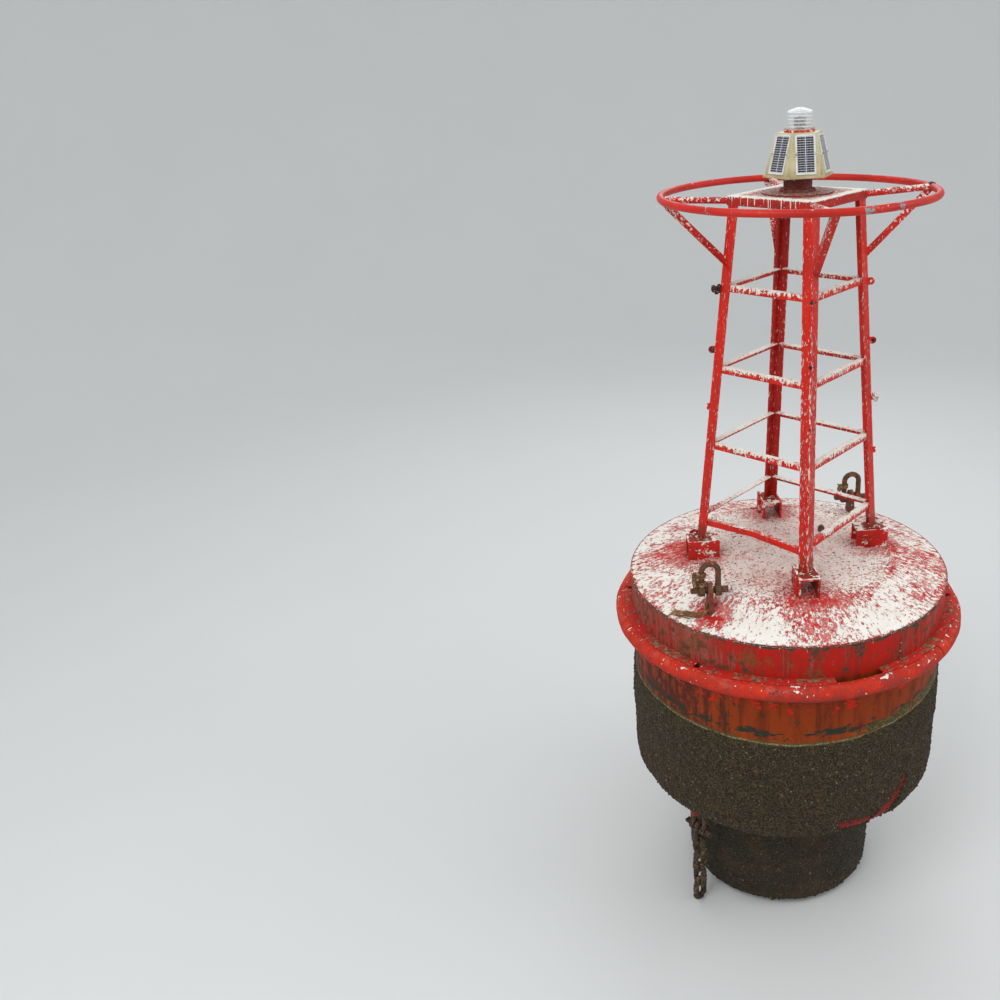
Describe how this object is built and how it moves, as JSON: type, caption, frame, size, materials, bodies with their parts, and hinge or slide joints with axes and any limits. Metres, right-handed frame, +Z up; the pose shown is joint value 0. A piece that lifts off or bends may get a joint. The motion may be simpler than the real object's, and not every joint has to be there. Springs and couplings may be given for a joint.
{
  "type": "navigation buoy",
  "caption": "Lit steel navigation buoy: round drum hull with rubber fender, ballasted tail, angle-iron lantern tower with guard hoop, solar lantern, lifting and mooring shackles.",
  "frame": {"origin": "on the floor under the middle of the tail, level with the ends of the tie rods", "axes": "+Z up the tower, -Y towards the front leg, +X to the right seen from the front"},
  "size_m": [2.6639, 2.6639, 6.128],
  "materials": {
    "hull_paint": "weathered, rust-streaked",
    "deck_paint": "matt red under white droppings",
    "red_paint": "semi-gloss red",
    "fender_rubber": "painted red, scuffed",
    "growth": "dried shells and weed",
    "tail_paint": "dark, encrusted",
    "ballast_iron": "dark, encrusted",
    "rusty_steel": "rusted",
    "pedestal_paint": "dark red, matt",
    "lantern_body": "weathered beige",
    "solar_cells": "clear over dark cells",
    "lens_ring_paint": "red",
    "lens_clear": "clear, ribbed",
    "led_core": "light grey",
    "spike_wire": "bare wire"
  },
  "bodies": {
    "buoy": {"drum": "hull_paint", "deck": "deck_paint", "deck_plug": "rusty_steel", "fender_flange_upper": "red_paint", "fender_flange_lower": "red_paint", "fender": "fender_rubber", "growth_hull": "growth", "growth_tail": "growth", "tail_tube": "tail_paint", "tail_brackets": "tail_paint", "ballast_layer_1": "ballast_iron", "ballast_layer_2": "ballast_iron", "ballast_layer_3": "ballast_iron", "ballast_layer_4": "ballast_iron", "ballast_layer_5": "ballast_iron", "ballast_layer_6": "ballast_iron", "ballast_layer_7": "ballast_iron", "tie_rods": "rusty_steel", "mooring_eye_left": "tail_paint", "mooring_eye_right": "tail_paint", "padeye_left": "red_paint", "padeye_right": "red_paint", "foot_front": "red_paint", "foot_right": "red_paint", "foot_back": "red_paint", "foot_left": "red_paint", "leg_front": "red_paint", "leg_right": "red_paint", "leg_back": "red_paint", "leg_left": "red_paint", "girts_1": "red_paint", "girts_2": "red_paint", "girts_3": "red_paint", "girts_4": "red_paint", "lantern_platform": "red_paint", "guard_hoop": "red_paint", "hoop_spokes": "red_paint", "hoop_braces": "red_paint", "lantern_pedestal": "pedestal_paint", "lantern_housing": "lantern_body", "solar_panels": "solar_cells", "lens_ring": "lens_ring_paint", "lantern_lens": "lens_clear", "led_array": "led_core", "bird_spike": "spike_wire"},
    "shackle_left": {"shackle_left_bow": "rusty_steel", "shackle_left_pin": "rusty_steel"},
    "shackle_right": {"shackle_right_bow": "rusty_steel", "shackle_right_pin": "rusty_steel"},
    "mooring_shackle": {"mooring_shackle_bow": "rusty_steel", "mooring_shackle_pin": "rusty_steel"},
    "mooring_chain": {"mooring_chain": "rusty_steel"}
  },
  "joints": [
    {"name": "shackle_left_swing", "type": "hinge", "parent": "buoy", "child": "shackle_left", "pos_m": [-0.68943, -0.68943, 3.038], "axis": [1, 0, 0], "range_deg": [-100, 100]},
    {"name": "shackle_right_swing", "type": "hinge", "parent": "buoy", "child": "shackle_right", "pos_m": [0.68943, 0.68943, 3.038], "axis": [1, 0, 0], "range_deg": [-100, 100]},
    {"name": "mooring_shackle_swing", "type": "hinge", "parent": "buoy", "child": "mooring_shackle", "pos_m": [-0.77619, -0.60643, 0.959], "axis": [-0.788, -0.6157, 0], "range_deg": [-35, 35]},
    {"name": "mooring_chain_swing", "type": "hinge", "parent": "mooring_shackle", "child": "mooring_chain", "pos_m": [-0.77619, -0.60643, 0.8003], "axis": [-0.6157, 0.788, 0], "range_deg": [-10, 45]}
  ]
}
